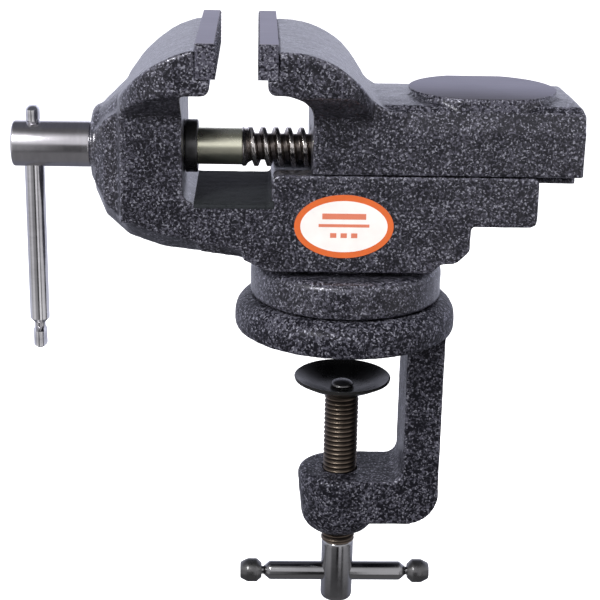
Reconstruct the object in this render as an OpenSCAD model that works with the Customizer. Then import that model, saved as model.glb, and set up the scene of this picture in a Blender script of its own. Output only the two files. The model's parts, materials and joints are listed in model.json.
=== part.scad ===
// Small clamp-on bench vise on a swivel base. Millimetres, +Z up, +X towards the anvil.
// The origin is the centre of the swivel base's underside, where it rests on the bench top.

/* [Swivel base and table clamp] */
// Radius of the round base that rests on the bench
base_r = 33.3; // [30:0.1:36]
// Thickness of the round base
base_h = 10; // [9:0.5:12]
// Distance from the screw axis to the inner face of the clamp's spine
spine_x = 18.7; // [17:0.1:20]
// Thickness of the clamp's spine
spine_t = 11.3; // [10.5:0.1:14]
// Thickness of the clamp's lower arm
arm_t = 14.4; // [12:0.1:15]
// Width of the clamp's spine and lower arm, across the object
spine_w = 24; // [20:0.5:28]
// Depth of the clamp's throat, from the bench face down to the lower arm
throat_h = 47.7; // [45:0.1:60]
// Major diameter of the clamp screw
clamp_screw_d = 10.6; // [9:0.2:11]
// Length of the clamp screw from under the cup to its lower end
clamp_screw_l = 71.4; // [68:0.2:85]
// Diameter of the cup that grips the bench from below
cup_d = 29.8; // [26:0.2:32]
// Depth of the cup's rim below the base at rest
cup_drop = 17; // [16:0.1:20]
// Length of the clamp's T-bar between its two knobs
t_bar_l = 47; // [40:1:60]
// Diameter of the clamp's T-bar
t_bar_d = 6; // [5:0.1:6.2]

/* [Vise body] */
// Radius of the round boss that turns on the base
boss_r = 28.7; // [27:0.1:30]
// Width of the body, the cradle and the moving barrel
body_w = 42.6; // [40:0.2:44]
// Height of the lead screw's axis above the bench
screw_z = 54.7; // [54:0.1:56]
// Height of the flat throat floor between the jaws
throat_z = 42.4; // [40:0.1:43]
// Height of the cradle's top, where the moving jaw rides
cradle_z = 51; // [50.5:0.1:51.5]
// Far end of the cradle
cradle_x = 53.2; // [50:0.2:55]
// Far end of the moving jaw's tail
tail_x = 65.4; // [64:0.2:68]

// Width of the oval label on the front of the body
label_w = 28.4; // [20:0.2:30]
// Height of the oval label
label_h = 18.6; // [14:0.2:19]

/* [Jaws] */
// Width of the jaw plates
jaw_w = 70; // [66:1:72]
// Height of the tops of the jaw plates
jaw_top = 89.8; // [88:0.2:92]
// Height of one jaw plate
plate_h = 9.6; // [9:0.2:11]
// Thickness of one jaw plate
plate_t = 5.5; // [4.5:0.1:6]
// Where the fixed plate's gripping face stands
fixed_face_x = -38.5; // [-40:0.1:-37]
// Gap between the two gripping faces at rest
jaw_gap = 11.3; // [8:0.1:12]
// Radius of the round anvil pad
anvil_r = 21.6; // [18:0.2:22]
// Height of the anvil's flat top
anvil_top = 73.2; // [72:0.1:75]

/* [Lead screw] */
// Major diameter of the lead screw's thread
lead_d = 11.6; // [11:0.2:12]
// Diameter of the lead screw's plain shank
shank_d = 10.8; // [10:0.2:11]
// Diameter of the lead screw's head
head_d = 13.3; // [13:0.1:15]
// Diameter of the sliding handle bar
handle_d = 5.8; // [5:0.1:6]

/* [Hidden] */
$fn = 64;

paint = "#2b2c33";
ground_steel = "#a3a2a8";
bright_steel = "#77777a";
black_steel = "#1d1c1c";
bronze_steel = "#4a4035";

run = 0.06;                     // radial clearance of a running fit
free = 0.4;                     // clearance between parts that only pass each other
half_w = body_w / 2;
wing_w = jaw_w / 2 - 0.4;       // half width of the castings behind the jaw plates
seat_z = jaw_top - plate_h;     // height of the ledge under each jaw plate
moving_face_x = fixed_face_x + jaw_gap;
fixed_seat_x = fixed_face_x - plate_t;
moving_seat_x = moving_face_x + plate_t;
wall_x = -48.2;                 // throat face of the fixed upright
lip_x = -22.9;                  // front face of the cradle
boss_end_x = -75.2;             // outer end of the fixed jaw's screw boss
barrel_x = -11.5;               // front face of the moving jaw's barrel
barrel_z = cradle_z + 0.1;      // underside of the barrel, just clear of the cradle
barrel_top = 71.5;
anvil_x = 38.3;
anvil_half_w = half_w - 1.4;    // the pad is trimmed flush with the barrel's bevels
step_z = 36.5;                  // underside of the cradle's overhang and of the fixed jaw's back
block_z = 22.4;                 // underside of the body's block above the boss
ledge_z = 21;                   // flat top of the boss, a little below the block
neck_r = 17.5;                  // neck between the boss and the block
hub_r = 14;                     // register on the base that the boss turns on
hub_h = 5;
bolt_r = 5;                     // pivot bolt's shank
bolt_head_z = 0.6;
bolt_head_h = 4.6;
bolt_top = 33;
spring_washer_h = 1.6;
washer_h = 1.3;
recess_r = 11;                  // recess for the pivot bolt's head
recess_h = 8.2;
arm_z = -throat_h;
arm_low = arm_z - arm_t;
clamp_boss_z = -67.6;           // underside of the clamp screw's boss
t_bar_z = -84.5;
t_bar_x = -0.7;                 // the T-bar lies a little off centre
cup_h = 5.2;
rivet_r = 2;
cup_play = 0.5;                 // looseness that lets the cup tilt on its rivet
cup_t = 1.3;
rivet_z = 2 * cup_play + cup_t;
cup_floor = -cup_drop - cup_h;
groove_r = 1.3;                 // half width of the T-bar's and handle bar's necks
tongue_z = 47.6;                // underside of the moving jaw's dovetail tongue
tongue_top_w = 12.5;
tongue_low_w = 14;
screw_end_x = 49;
head_x = -98.5;
handle_x = -92.5;
handle_top = 60.85;             // the handle hangs by its upper pinched end
handle_low = 0.3;
handle_neck_r = 1.6;
pinch_half_w = 3.4;             // half width of the handle's pinched ends
collar_r = 7.75;
collar_l = 3.7;
pin_x = wall_x + 2;
pin_r = 1.25;
wall_t = 4.6;                   // tail wall behind the hollow
pocket_w = 9;                   // half width of the hollow under the moving barrel
pocket_top = 62.6;
plate_screw_y = 22;
plate_screw_z = seat_z + 3.4;
plate_screw_r = 1.75;
plate_screw_l = plate_t + 4.2;
nut_x = -4;                     // front of the nut's hollow, behind the barrel's front wall
nut_l = 18;
retainer_x = nut_x + nut_l + 0.1;
retainer_l = 6;
retainer_z = pocket_top - 1.6;
retainer_screw_x = retainer_x + retainer_l / 2;
retainer_screw_y = 5.5;
retainer_screw_r = 1.5;

// Points of the circular arc that runs from a through b to c.
function circle_centre(a, b, c) =
    let (d = 2 * (a.x * (b.y - c.y) + b.x * (c.y - a.y) + c.x * (a.y - b.y)),
         a2 = a * a, b2 = b * b, c2 = c * c)
    [(a2 * (b.y - c.y) + b2 * (c.y - a.y) + c2 * (a.y - b.y)) / d,
     (a2 * (c.x - b.x) + b2 * (a.x - c.x) + c2 * (b.x - a.x)) / d];
function angle_of(p, o) = atan2(p.y - o.y, p.x - o.x);
function turn(from, to) = to < from ? to - from + 360 : to - from;
function arc(a, b, c, n = 10) =
    let (o = circle_centre(a, b, c), r = norm(a - o), s = angle_of(a, o),
         ab = turn(s, angle_of(b, o)), ac = turn(s, angle_of(c, o)),
         sweep = ab <= ac ? ac : ac - 360)
    [for (i = [0 : n]) o + r * [cos(s + sweep * i / n), sin(s + sweep * i / n)]];

// Prism of a side view, whose points are [x, z], reaching w to each side.
module side_prism(w) rotate([90, 0, 0]) translate([0, 0, -w]) linear_extrude(2 * w) children();

// Prism of an end view, whose points are [y, z], from x0 to x1.
module end_prism(x0, x1) translate([x0, 0, 0]) rotate([90, 0, 90]) linear_extrude(x1 - x0) children();

// Cylinder along X that starts at x.
module x_cylinder(x, l, r) translate([x, 0, 0]) rotate([0, 90, 0]) cylinder(r = r, h = l);

// End view, whose points are [y, z], from the points of its +Y half, which start low.
function mirrored(half) = concat(half, [for (i = [len(half) - 1 : -1 : 0]) [-half[i].x, half[i].y]]);

// Plan, whose points are [x, y], from the points of its +Y half.
function both_sides(half) = concat(half, [for (i = [len(half) - 1 : -1 : 0]) [half[i].x, -half[i].y]]);

// ---- swivel base and clamp ----

module base_disc() rotate_extrude($fn = 96) polygon(concat(
    [[0, 0], [base_r - 0.8, 0], [base_r, 0.8], [base_r, 4.6]],
    arc([base_r, 4.6], [base_r - 1.4, base_h - 1.9], [base_r - 4.4, base_h], 6),
    [[hub_r, base_h], [hub_r, base_h + hub_h], [0, base_h + hub_h]]));

module c_arm() side_prism(spine_w / 2) offset(1) offset(-5) offset(4) polygon(concat(
    [[spine_x, 2], [spine_x, arm_z], [0, arm_z], [0, arm_low]],
    arc([spine_x, arm_low], [spine_x + 9.2, arm_low + 3.6], [spine_x + spine_t, arm_low + 12]),
    [[spine_x + spine_t, 2]]));

module clamp_boss() rotate_extrude($fn = 64) polygon(concat(
    [[0, arm_z], [11.8, arm_z], [12.9, arm_z - 0.8], [13.2, arm_z - 2.2], [12.9, -54], [12.1, -60.6]],
    arc([12.1, -60.6], [11.2, -65], [8.9, clamp_boss_z], 4), [[0, clamp_boss_z]]));

module clamp_frame() color(paint) difference() {
    union() {
        base_disc();
        intersection() {
            c_arm();
            translate([-1, -spine_w / 2, arm_low - 1]) cube([60, spine_w, 5 - arm_low]);
        }
        clamp_boss();
    }
    translate([0, 0, -1]) cylinder(r = recess_r, h = recess_h + 1);
    cylinder(r = bolt_r + run, h = base_h + hub_h + 1);
    translate([0, 0, clamp_boss_z - 1]) cylinder(r = clamp_screw_d / 2 + run, h = 30);
}

module clamp_screw() color(bronze_steel) difference() {
    translate([0, 0, cup_floor - clamp_screw_l]) rotate_extrude($fn = 64) polygon(concat(
        [[0, 0]], arc([clamp_screw_d / 2 - 1.7, 0], [clamp_screw_d / 2 - 0.5, 0.6],
                      [clamp_screw_d / 2, 1.8], 4),
        [[clamp_screw_d / 2, clamp_screw_l - 0.7], [clamp_screw_d / 2 - 0.7, clamp_screw_l],
         [0, clamp_screw_l]]));
    translate([-10, 0, t_bar_z]) rotate([0, 90, 0]) cylinder(r = t_bar_d / 2 + run, h = 20);
    translate([0, 0, cup_floor - 8]) cylinder(r = rivet_r + run, h = 10);
}

module clamp_cup() color(black_steel) translate([0, 0, cup_floor]) rotate_extrude($fn = 96) polygon(concat(
    [[rivet_r + 0.4, cup_play], [5.4, cup_play]],
    arc([5.4, cup_play], [11, 2.3], [cup_d / 2, cup_h - 0.9], 6),
    [[cup_d / 2, cup_h], [cup_d / 2 - 0.6, cup_h]],
    arc([cup_d / 2 - 0.6, cup_h], [10.4, 3.5], [5, cup_play + cup_t], 6),
    [[rivet_r + 0.4, cup_play + cup_t]]));

module cup_rivet() color(bright_steel) translate([0, 0, cup_floor]) rotate_extrude($fn = 48) polygon(concat(
    [[0, -7.5], [rivet_r, -7.5], [rivet_r, rivet_z], [3.6, rivet_z], [3.6, rivet_z + 0.4]],
    arc([3.6, rivet_z + 0.4], [2.4, rivet_z + 1.2], [0, rivet_z + 1.5], 6)));

module clamp_t_bar() color(black_steel) translate([t_bar_x, 0, t_bar_z]) rotate([0, 90, 0])
    rotate_extrude($fn = 48) polygon(
        [[0, -t_bar_l / 2 - 5], [groove_r, -t_bar_l / 2 - 5], [groove_r, -t_bar_l / 2 + 0.6],
         [t_bar_d / 2, -t_bar_l / 2 + 2.4], [t_bar_d / 2, t_bar_l / 2 - 2.4],
         [groove_r, t_bar_l / 2 - 0.6], [groove_r, t_bar_l / 2 + 5], [0, t_bar_l / 2 + 5]]);

module t_bar_knob() rotate([0, 90, 0]) rotate_extrude($fn = 48) polygon(
    [[groove_r, 0], [2.4, 0], [3.75, 1.6], [3.75, 4.6], [2.6, 6.9], [0, 6.9], [0, 5], [groove_r, 5]]);

module t_bar_knobs() color(black_steel) translate([t_bar_x, 0, t_bar_z]) for (side = [0, 1])
    mirror([side, 0, 0]) translate([t_bar_l / 2, 0, 0]) t_bar_knob();

// ---- swivel pivot ----

module pivot_bolt() color(bright_steel) {
    translate([0, 0, bolt_head_z]) cylinder(r = 9.2, h = bolt_head_h, $fn = 6);
    translate([0, 0, bolt_head_z + 2]) cylinder(r = bolt_r, h = bolt_top - bolt_head_z - 2);
}

module ring(r_out, r_in, h) difference() {
    cylinder(r = r_out, h = h);
    translate([0, 0, -1]) cylinder(r = r_in, h = h + 2);
}

module pivot_washer() color(bright_steel) translate([0, 0, bolt_head_z + bolt_head_h + spring_washer_h])
    ring(10.4, bolt_r + 0.2, washer_h);

module pivot_spring_washer() color(black_steel) translate([0, 0, bolt_head_z + bolt_head_h])
    ring(8.6, bolt_r + 0.2, spring_washer_h);

// ---- vise body ----

// Plan of a jaw head: full width from seat_x to full_x, then rounding in through mid and end to tip.
module head_plan(seat_x, full_x, mid, end, tip) translate([0, 0, 20]) linear_extrude(80)
    polygon(both_sides(concat([[seat_x, wing_w]], arc([full_x, wing_w], mid, end), [tip])));

// End view of both jaw heads: wings above, sloping in to the body's width below.
module head_end(x0, x1) end_prism(x0, x1) polygon(mirrored(
    [[half_w, 20], [half_w, 67.5], [wing_w - 0.6, 75.2], [wing_w, 76], [wing_w, 100]]));

module fixed_head_side() polygon(concat(
    [[fixed_seat_x, jaw_top - 2]],
    arc([fixed_seat_x - 2.5, jaw_top - 2.4], [-58.6, 80.9], [-66.4, 71.6]),
    [[-66.4, step_z], [wall_x, step_z], [wall_x, 75.2]],
    arc([-42.6, 75.2], [-40.9, 75.9], [-40.2, 77.6], 4), [[-40.2, seat_z], [fixed_seat_x, seat_z]]));

module fixed_head() intersection() {
    side_prism(wing_w) fixed_head_side();
    head_end(-80, -30);
    head_plan(-30, -50, [-60.9, 29.2], [-66.4, 17], [-76, 13]);
}

// One section across the lower arm: low and near edges at z_low and z_edge, top at z_top.
module arm_section(x, z_low, z_edge, z_top, w_low, w) end_prism(x, x + 0.05) polygon(mirrored(
    [[w_low, z_low], [w, z_edge], [w, z_top]]));

module lower_arm() {
    hull() {
        arm_section(-26, 25, 28, throat_z, 15.5, half_w);
        arm_section(-54, 28, 33.6, throat_z, 14.5, half_w);
    }
    hull() {
        arm_section(-54, 28, 33.6, 60, 14.5, half_w);
        arm_section(-64, 30.8, 36.4, 64, 12, 20);
    }
    hull() {
        arm_section(-64, 30.8, 36.4, 70, 12, 20);
        arm_section(-70.6, 36.2, 41.8, 65, 10, 16.4);
    }
    hull() {
        arm_section(-70.6, 36.2, 41.8, 65, 10, 16.4);
        arm_section(-73.8, 42.6, 46.8, 61, 6.5, 12);
    }
}

module screw_boss() rotate([0, 90, 0]) translate([-screw_z, 0, 0]) rotate_extrude($fn = 64) polygon(concat(
    [[0, boss_end_x]], arc([9.4, boss_end_x], [11.3, boss_end_x + 0.9], [12.2, boss_end_x + 2.6], 4),
    [[14.2, wall_x - 8], [0, wall_x - 8]]));

// Slope from the screw boss's nose up to the back of the fixed jaw.
module boss_shoulder() hull() {
    translate([0, 0, screw_z]) x_cylinder(-73.2, 0.5, 11.4, $fn = 32);
    end_prism(-62.5, -62.4) polygon(mirrored([[18, 50], [19.5, 66], [15, 75.6]]));
}

module cradle_side() offset(2) offset(-2) polygon([
    [-44, throat_z], [lip_x, throat_z], [lip_x, cradle_z], [cradle_x, cradle_z],
    [cradle_x, step_z], [34.3, step_z], [34.3, 29.2], [30.4, 25.4], [26.4, 25.4], [23.4, block_z],
    [-23.7, block_z], [-30, 25.6], [-44, 28]]);

module body_block() difference() {
    side_prism(half_w) cradle_side();
    end_prism(-60, lip_x - 8) polygon([[half_w - 8, 20], [half_w + 1, 20], [half_w + 1, 32]]);
    end_prism(-60, lip_x - 8) polygon([[8 - half_w, 20], [-half_w - 1, 20], [-half_w - 1, 32]]);
}

module swivel_boss() rotate_extrude($fn = 96) polygon(concat(
    [[0, base_h + free], [boss_r - 0.5, base_h + free], [boss_r, base_h + free + 0.5]],
    arc([boss_r, 18.4], [boss_r - 0.9, 20.3], [boss_r - 3, ledge_z], 4),
    [[neck_r, ledge_z], [neck_r, block_z + 2], [0, block_z + 2]]));

// The dovetail channel along the cradle, wider at its floor.
module channel() end_prism(lip_x - 1, cradle_x + 1) polygon(mirrored(
    [[tongue_low_w + 0.1, tongue_z - 0.1], [tongue_top_w + 0.1, cradle_z],
     [tongue_top_w + 0.1, cradle_z + 2]]));

module vise_body() color(paint) difference() {
    union() {
        fixed_head();
        lower_arm();
        screw_boss();
        boss_shoulder();
        body_block();
        swivel_boss();
        translate([wall_x - 0.5, -half_w, throat_z]) throat_fillet();
    }
    channel();
    translate([0, 0, screw_z]) x_cylinder(boss_end_x - 1, 40, shank_d / 2 + run);
    translate([0, 0, base_h - 1]) cylinder(r = hub_r + run, h = hub_h + 1 + free);
    translate([0, 0, base_h]) cylinder(r = bolt_r, h = bolt_top - base_h);
    for (y = [-plate_screw_y, plate_screw_y]) translate([0, y, plate_screw_z])
        x_cylinder(fixed_face_x - plate_screw_l - 0.2, plate_screw_l, plate_screw_r);
}

// Concave quarter round where the upright meets the throat floor.
module throat_fillet(r = 4) translate([0, body_w, 0]) rotate([90, 0, 0]) linear_extrude(body_w)
    difference() {
        square(r + 0.5);
        translate([r + 0.5, r]) circle(r);
    }

// Jaw plate with two countersunk screw holes; its gripping face looks along +X.
module jaw_plate(face_x) difference() {
    translate([face_x - plate_t, -jaw_w / 2, seat_z]) cube([plate_t, jaw_w, plate_h]);
    for (y = [-plate_screw_y, plate_screw_y]) translate([face_x, y, plate_screw_z]) rotate([0, -90, 0]) {
        translate([0, 0, -1]) cylinder(r = plate_screw_r + 0.1, h = plate_t + 2);
        translate([0, 0, -0.01]) cylinder(r1 = 3.2, r2 = plate_screw_r + 0.1, h = 1.9);
    }
}

module plate_screws(face_x) for (y = [-plate_screw_y, plate_screw_y])
    translate([face_x - 0.2, y, plate_screw_z]) rotate([0, -90, 0]) difference() {
        union() {
            cylinder(r1 = 2.9, r2 = plate_screw_r, h = 1.6);
            cylinder(r = plate_screw_r, h = plate_screw_l);
        }
        translate([-4, -0.4, -1]) cube([8, 0.8, 1.7]);
    }

module fixed_jaw_plate() color(ground_steel) jaw_plate(fixed_face_x);

module fixed_plate_screws() color(bright_steel) plate_screws(fixed_face_x);

module label() color("#e8662a") translate([-2.2, -half_w, 36.4]) rotate([90, 0, 0])
    linear_extrude(0.25) polygon([for (a = [0 : 5 : 355]) [label_w / 2 * cos(a), label_h / 2 * sin(a)]]);

// ---- lead screw ----

module lead_screw() color(bright_steel) difference() {
    translate([0, 0, screw_z]) rotate([0, 90, 0]) rotate_extrude($fn = 64) polygon([
        [0, head_x], [head_d / 2 - 0.8, head_x], [head_d / 2, head_x + 0.8],
        [head_d / 2, boss_end_x - 0.1], [shank_d / 2, boss_end_x - 0.1], [shank_d / 2, -31.5],
        [lead_d / 2, -31.3], [lead_d / 2, screw_end_x - 1.5], [lead_d / 2 - 1.5, screw_end_x],
        [0, screw_end_x]]);
    translate([handle_x, 0, screw_z - 10]) cylinder(r = handle_d / 2 + run, h = 20);
    translate([pin_x, 0, screw_z - 10]) cylinder(r = pin_r, h = 20);
}

module thrust_collar() color(black_steel) difference() {
    translate([wall_x + 0.1, 0, screw_z]) rotate([0, 90, 0]) ring(collar_r, shank_d / 2, collar_l);
    translate([pin_x, 0, screw_z - 10]) cylinder(r = pin_r, h = 20);
}

module collar_pin() color(bright_steel) translate([pin_x, 0, screw_z - collar_r + 0.2])
    cylinder(r = pin_r, h = 2 * collar_r - 0.4);

module handle_rod() rotate_extrude($fn = 48) polygon([
    [0, handle_low - 4], [handle_neck_r, handle_low - 4], [handle_neck_r, handle_low - 0.9],
    [handle_d / 2, handle_low + 0.7], [handle_d / 2, handle_top - 1.2], [handle_neck_r, handle_top],
    [handle_neck_r, handle_top + 2], [0, handle_top + 2]]);

// An end pinched flat after assembly: narrow along X, wider than the rod along Y.
module pinched_end(z0, z1) intersection() {
    translate([0, pinch_half_w, z0]) rotate([90, 0, 0]) linear_extrude(2 * pinch_half_w) polygon([
        [-1.1, 0], [1.1, 0], [2, 0.9], [2, z1 - z0 - 0.9], [1.1, z1 - z0], [-1.1, z1 - z0],
        [-2, z1 - z0 - 0.9], [-2, 0.9]]);
    translate([0, 0, z0]) cylinder(r = pinch_half_w, h = z1 - z0);
}

module handle_bar() color(bright_steel) translate([handle_x, 0, 0]) {
    handle_rod();
    pinched_end(handle_top, handle_top + 5.2);
    pinched_end(handle_low - 8.6, handle_low - 2);
}

// ---- moving jaw ----

module moving_head_side() polygon(concat(
    [[barrel_x, barrel_z]], arc([barrel_x, 68], [-13.9, 73], [-19, 75.7], 6),
    arc([moving_seat_x - 0.8, 75.7], [-23.7, 76.4], [-24.4, 78], 4),
    [[-24.4, seat_z], [moving_seat_x, seat_z], [moving_seat_x, jaw_top - 2]],
    arc([moving_seat_x + 2.5, jaw_top - 2.2], [-6, 84.1], [4, 74.2]),
    arc([4, 74.2], [7.6, 70.8], [14, 69.6], 6), [[14, barrel_z]]));

module moving_head() intersection() {
    side_prism(wing_w) moving_head_side();
    head_end(-30, 20);
    head_plan(-30, -2, [2.6, 29.5], [5, half_w], [20, half_w]);
}

module barrel() intersection() {
    end_prism(barrel_x, tail_x) polygon(mirrored(
        [[half_w, barrel_z], [half_w, 64], [anvil_half_w, 69.4], [17.8, 70.9], [8, barrel_top]]));
    side_prism(half_w + 1) polygon(concat(
        [[barrel_x, 40], [tail_x, 40], [tail_x, 52]],
        arc([tail_x, 66.4], [tail_x - 0.5, 69.8], [tail_x - 2, barrel_top + 0.1], 5),
        [[barrel_x, barrel_top + 0.5]]));
}

module tongue() end_prism(barrel_x, tail_x - 0.4) polygon(mirrored(
    [[tongue_low_w, tongue_z], [tongue_top_w, cradle_z], [tongue_top_w, cradle_z + 2]]));

module anvil() intersection() {
    translate([anvil_x, 0, 66]) cylinder(r = anvil_r, h = anvil_top - 66, $fn = 96);
    translate([anvil_x - 30, -anvil_half_w, 60]) cube([60, 2 * anvil_half_w, 20]);
}

module moving_jaw() color(paint) difference() {
    union() {
        moving_head();
        barrel();
        tongue();
        anvil();
    }
    translate([nut_x, -pocket_w, 40]) cube([tail_x - wall_t - nut_x, 2 * pocket_w, pocket_top - 40]);
    translate([0, 0, screw_z]) x_cylinder(barrel_x - 1, 20, lead_d / 2 + free);
    translate([-20, -lead_d / 2 - free, 40]) cube([30, lead_d + 2 * free, screw_z - 40]);
    for (y = [-plate_screw_y, plate_screw_y]) translate([0, y, plate_screw_z])
        x_cylinder(moving_face_x + 0.2, plate_screw_l, plate_screw_r);
    retainer_holes() cylinder(r = retainer_screw_r, h = 12);
}

module retainer_holes() for (y = [-retainer_screw_y, retainer_screw_y])
    translate([retainer_screw_x, y, retainer_z - 5]) children();

module moving_jaw_plate() color(ground_steel) mirror([1, 0, 0]) jaw_plate(-moving_face_x);

module moving_plate_screws() color(bright_steel) mirror([1, 0, 0]) plate_screws(-moving_face_x);

// The nut sits in the hollow behind the barrel's front wall.
module lead_nut() color("#8a6d3b") difference() {
    translate([nut_x, 0.1 - pocket_w, tongue_z + 0.6])
        cube([nut_l, 2 * pocket_w - 0.2, pocket_top - tongue_z - 0.7]);
    translate([0, 0, screw_z]) x_cylinder(nut_x - 1, nut_l + 2, lead_d / 2 + run);
}

// A small plate behind the nut that keeps it from sliding back.
module nut_retainer() color(black_steel) difference() {
    translate([retainer_x, 0.2 - pocket_w, retainer_z])
        cube([retainer_l, 2 * pocket_w - 0.4, pocket_top - retainer_z]);
    retainer_holes() cylinder(r = retainer_screw_r + 0.1, h = 9);
}

module nut_retainer_screws() color(bright_steel) retainer_holes() {
    translate([0, 0, 4.4]) cylinder(r = 2.4, h = 0.6);
    translate([0, 0, 4.4]) cylinder(r = retainer_screw_r, h = 7);
}

clamp_frame();
clamp_screw();
clamp_cup();
cup_rivet();
clamp_t_bar();
t_bar_knobs();
pivot_bolt();
pivot_washer();
pivot_spring_washer();
vise_body();
fixed_jaw_plate();
fixed_plate_screws();
label();
lead_screw();
thrust_collar();
collar_pin();
handle_bar();
moving_jaw();
moving_jaw_plate();
moving_plate_screws();
lead_nut();
nut_retainer();
nut_retainer_screws();
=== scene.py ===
"""Looks of the clamp-on bench vise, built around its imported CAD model. Metres, +Z up."""
import json
import math

import bmesh
import bpy
import numpy as np
from mathutils import Matrix, Vector, noise


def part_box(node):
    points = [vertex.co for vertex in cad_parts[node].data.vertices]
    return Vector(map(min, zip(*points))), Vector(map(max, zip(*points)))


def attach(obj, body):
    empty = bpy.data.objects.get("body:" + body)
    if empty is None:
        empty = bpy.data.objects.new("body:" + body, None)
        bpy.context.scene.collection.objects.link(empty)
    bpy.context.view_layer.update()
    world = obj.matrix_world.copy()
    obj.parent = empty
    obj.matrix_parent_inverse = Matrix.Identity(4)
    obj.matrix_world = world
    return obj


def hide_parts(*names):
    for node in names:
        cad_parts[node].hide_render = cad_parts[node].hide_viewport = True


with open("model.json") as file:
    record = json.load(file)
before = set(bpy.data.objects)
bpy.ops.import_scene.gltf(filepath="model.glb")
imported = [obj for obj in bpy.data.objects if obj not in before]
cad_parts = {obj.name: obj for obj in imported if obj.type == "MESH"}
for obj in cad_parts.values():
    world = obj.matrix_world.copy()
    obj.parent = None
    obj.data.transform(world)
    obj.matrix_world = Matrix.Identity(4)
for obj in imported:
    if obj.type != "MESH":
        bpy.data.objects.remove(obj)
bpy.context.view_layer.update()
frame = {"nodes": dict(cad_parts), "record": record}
MM = 0.001
TAU = 2 * math.pi
CORE = 0.02 * MM                # radius at which a turned piece's end is closed


# ---------------------------------------------------------------- materials

class Nodes:
    """A short way to write the node tree of a material or of the world."""

    def __init__(self, owner, shader="Principled BSDF", coords="Object"):
        owner.use_nodes = True
        self.owner = owner
        self.tree = owner.node_tree
        self.shader = self.tree.nodes[shader]
        self.coords = self.add("ShaderNodeTexCoord").outputs[coords]

    def add(self, kind, **values):
        node = self.tree.nodes.new(kind)
        for key, value in values.items():
            setattr(node, key, value)
        return node

    def link(self, source, target):
        self.tree.links.new(source, target)

    def set(self, **values):
        """Sets constants on the shader; an underscore stands for a space."""
        for key, value in values.items():
            self.shader.inputs[key.replace("_", " ")].default_value = value

    def noise(self, scale, detail=2.0, roughness=0.5, distortion=0.0, coords=None):
        node = self.add("ShaderNodeTexNoise")
        node.inputs["Scale"].default_value = scale
        node.inputs["Detail"].default_value = detail
        node.inputs["Roughness"].default_value = roughness
        node.inputs["Distortion"].default_value = distortion
        self.link(coords or self.coords, node.inputs["Vector"])
        return node.outputs["Fac"]

    def stretch(self, scale):
        node = self.add("ShaderNodeMapping")
        node.inputs["Scale"].default_value = scale
        self.link(self.coords, node.inputs["Vector"])
        return node.outputs["Vector"]

    def ramp(self, source, *stops):
        """Colours or grey levels between stops of (position, colour)."""
        node = self.add("ShaderNodeValToRGB")
        elements = node.color_ramp.elements
        while len(elements) < len(stops):
            elements.new(0.5)
        for element, (position, colour) in zip(elements, stops):
            element.position = position
            if isinstance(colour, (int, float)):
                colour = (colour, colour, colour)
            element.color = (*colour, 1)
        self.link(source, node.inputs["Fac"])
        return node.outputs["Color"]

    def math(self, operation, a, b=0.5, clamp=False):
        """b is left out where the operation takes one value."""
        node = self.add("ShaderNodeMath", operation=operation, use_clamp=clamp)
        for socket, value in zip(node.inputs, (a, b)):
            if isinstance(value, (int, float)):
                socket.default_value = value
            else:
                self.link(value, socket)
        return node.outputs["Value"]

    def mix(self, factor, a, b, kind="RGBA"):
        node = self.add("ShaderNodeMix", data_type=kind)
        for key, value in (("Factor", factor), ("A", a), ("B", b)):
            socket = [s for s in node.inputs if s.name == key and s.enabled][0]
            if isinstance(value, tuple):
                socket.default_value = (*value, 1)
            elif isinstance(value, (int, float)):
                socket.default_value = value
            else:
                self.link(value, socket)
        return [s for s in node.outputs if s.enabled][0]

    def bump(self, height, distance, strength=1.0, normal=None):
        node = self.add("ShaderNodeBump")
        node.inputs["Strength"].default_value = strength
        node.inputs["Distance"].default_value = distance
        self.link(height, node.inputs["Height"])
        if normal:
            self.link(normal, node.inputs["Normal"])
        return node.outputs["Normal"]

    def axis(self, source, name):
        node = self.add("ShaderNodeSeparateXYZ")
        self.link(source, node.inputs["Vector"])
        return node.outputs[name]

    def radius_from(self, axis, centre):
        """Distance from the line along that axis ("X" or "Z") through centre."""
        squares = []
        for name, place in zip("XYZ".replace(axis, ""), centre):
            offset = self.math("SUBTRACT", self.axis(self.coords, name), place)
            squares.append(self.math("MULTIPLY", offset, offset))
        return self.math("SQRT", self.math("ADD", *squares))

    def edges(self, reach):
        """1 on outer edges, 0 elsewhere: rubbed brighter on the steels, painted highlights on the
        paint.
        """
        geometry = self.add("ShaderNodeNewGeometry")
        return self.ramp(geometry.outputs["Pointiness"], (0.5, 0.0), (0.5 + reach, 1.0))

    def creases(self, reach):
        """1 in inner corners and grooves, 0 elsewhere."""
        geometry = self.add("ShaderNodeNewGeometry")
        return self.ramp(geometry.outputs["Pointiness"], (0.5 - reach, 1.0), (0.49, 0.0))


def new_material(name):
    return Nodes(bpy.data.materials.new(name))


def shade(colour, factor):
    return tuple(c * factor for c in colour)


PAINT_BLACK = (0.006, 0.006, 0.0085)
# The plain black of the painted shade on the throat's floor.
SHADE_BLACK = (0.016, 0.018, 0.019)


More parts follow.
